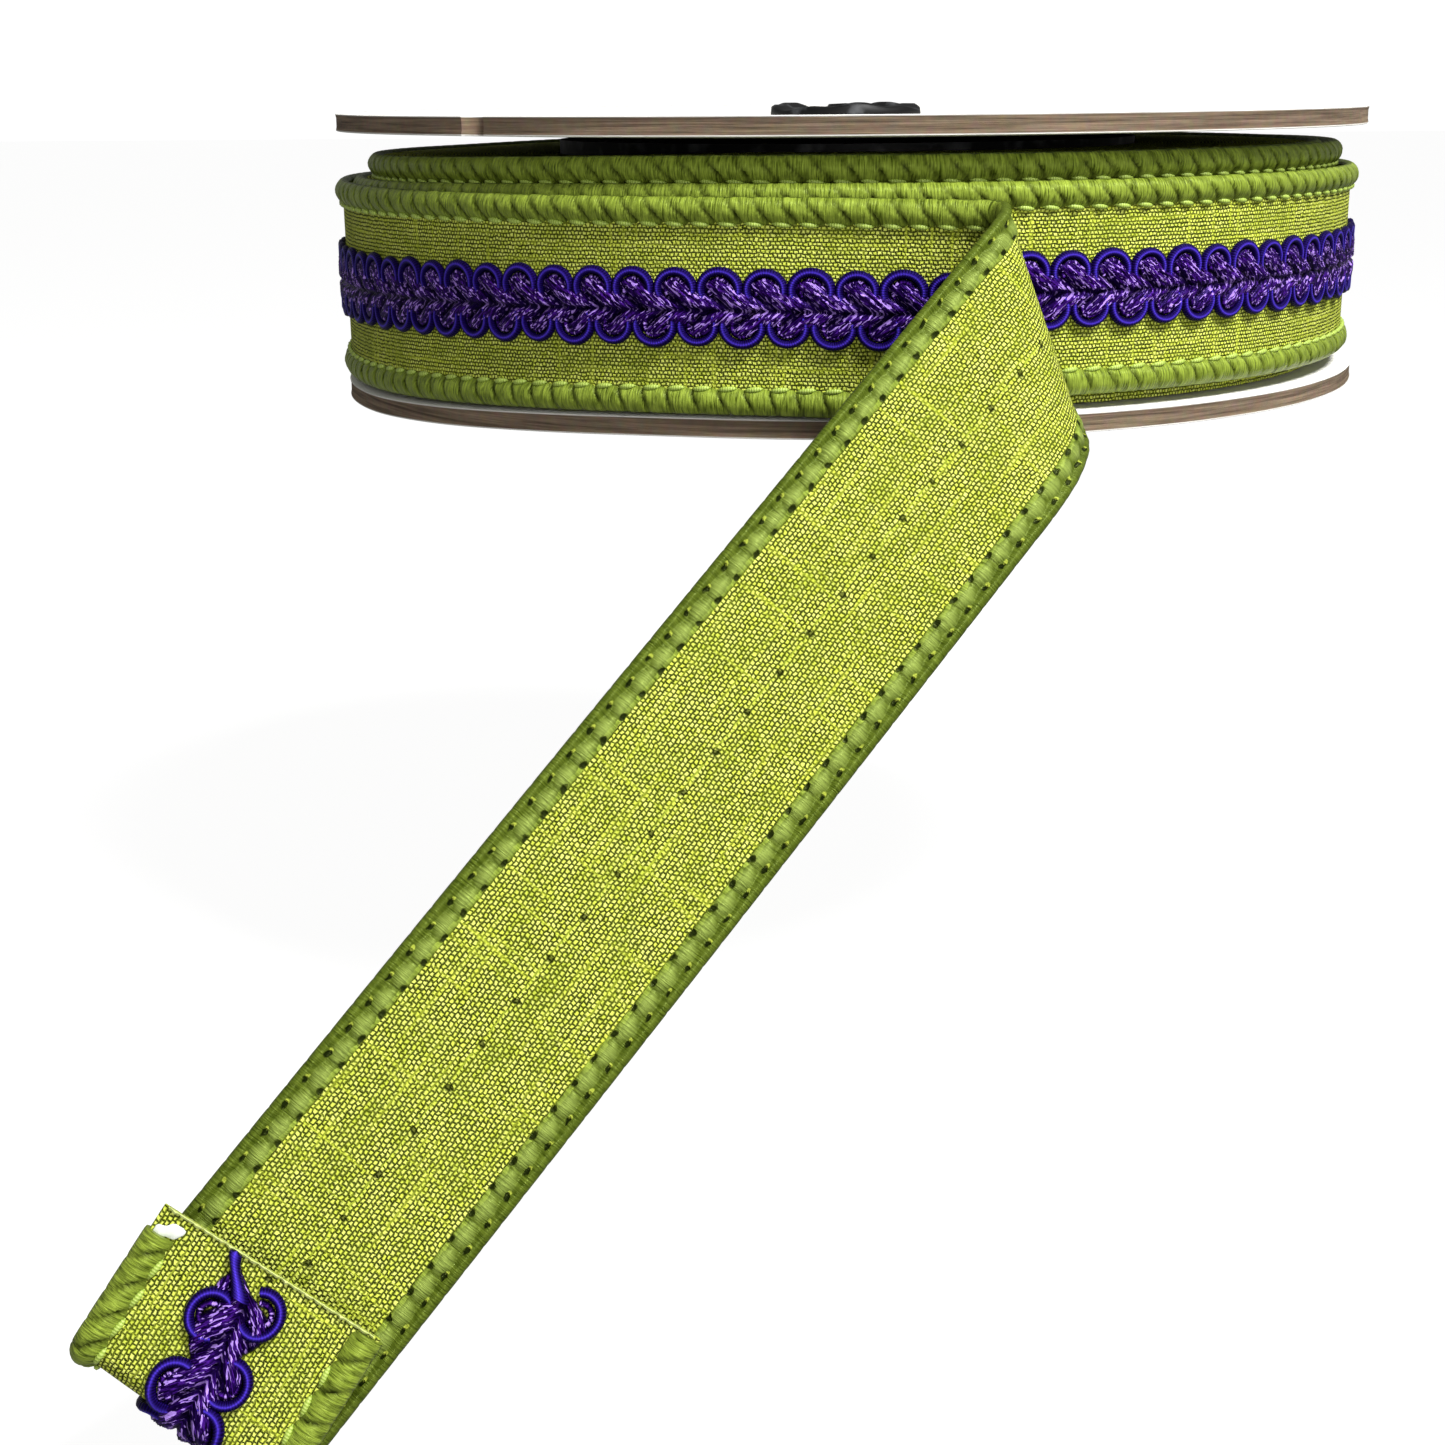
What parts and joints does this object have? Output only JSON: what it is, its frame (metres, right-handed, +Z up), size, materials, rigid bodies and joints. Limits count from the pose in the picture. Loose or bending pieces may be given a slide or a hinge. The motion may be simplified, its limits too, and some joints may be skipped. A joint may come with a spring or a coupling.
{
  "type": "ribbon on a spool",
  "caption": "Bound lime cloth ribbon with a violet scalloped braid, wound on a flat board spool, its loose end folded over and hanging down at the front.",
  "frame": {"origin": "centre of the underside of the spool's bottom flange", "axes": "+Z up along the spool's axis, +X to the right and -Y to the front, where the loose end leaves the roll and hangs down"},
  "size_m": [0.1487, 0.2307, 0.1286],
  "materials": {
    "board": "grey-brown chipboard with pale paper faces",
    "core": "black, dull",
    "cloth": "plain weave, lime yarn over a darker olive yarn",
    "binding": "olive green satin over wire",
    "gimp": "shiny violet braid with a wrapped satin cord"
  },
  "bodies": {
    "root": {"spool_flange_top": "board", "spool_flange_bottom": "board", "spool_core": "core", "ribbon_roll": "cloth", "roll_binding_top": "binding", "roll_binding_bottom": "binding", "roll_gimp": "gimp", "loose_end_cloth": "cloth", "loose_end_binding_top": "binding", "loose_end_binding_bottom": "binding", "loose_end_gimp": "gimp"}
  },
  "joints": []
}
